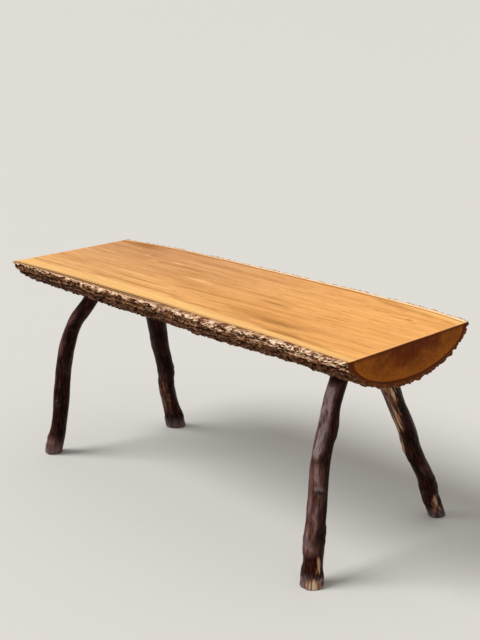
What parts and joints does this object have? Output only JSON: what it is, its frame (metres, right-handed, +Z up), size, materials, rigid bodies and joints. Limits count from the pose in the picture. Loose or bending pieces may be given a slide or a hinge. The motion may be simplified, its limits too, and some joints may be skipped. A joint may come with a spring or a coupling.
{
  "type": "split log bench",
  "caption": "Rustic bench: a half log with its bark on, flat side up as the seat, standing on crooked branch legs whose round tenons are wedged into blind mortises in the log's round side.",
  "frame": {"origin": "on the floor, under the middle of the box round the seat and the feet", "axes": "+X along the log to its right end, +Y from the front edge to the back edge, +Z up"},
  "size_m": [1.0503, 0.4344, 0.45],
  "materials": {
    "seat_wood": "honey-coloured, varnished, satin",
    "bark": "furrowed bark, brown with pale ridges, varnished",
    "branch_wood": "dark reddish-brown branch, varnished, satin",
    "wedge_wood": "bare riven hardwood"
  },
  "bodies": {
    "root": {"seat_slab": "seat_wood", "bark": "bark", "leg_front_left": "branch_wood", "leg_back_left": "branch_wood", "leg_front_right": "branch_wood", "leg_back_right": "branch_wood", "wedge_front_left": "wedge_wood", "wedge_back_left": "wedge_wood", "wedge_front_right": "wedge_wood", "wedge_back_right": "wedge_wood"}
  },
  "joints": []
}
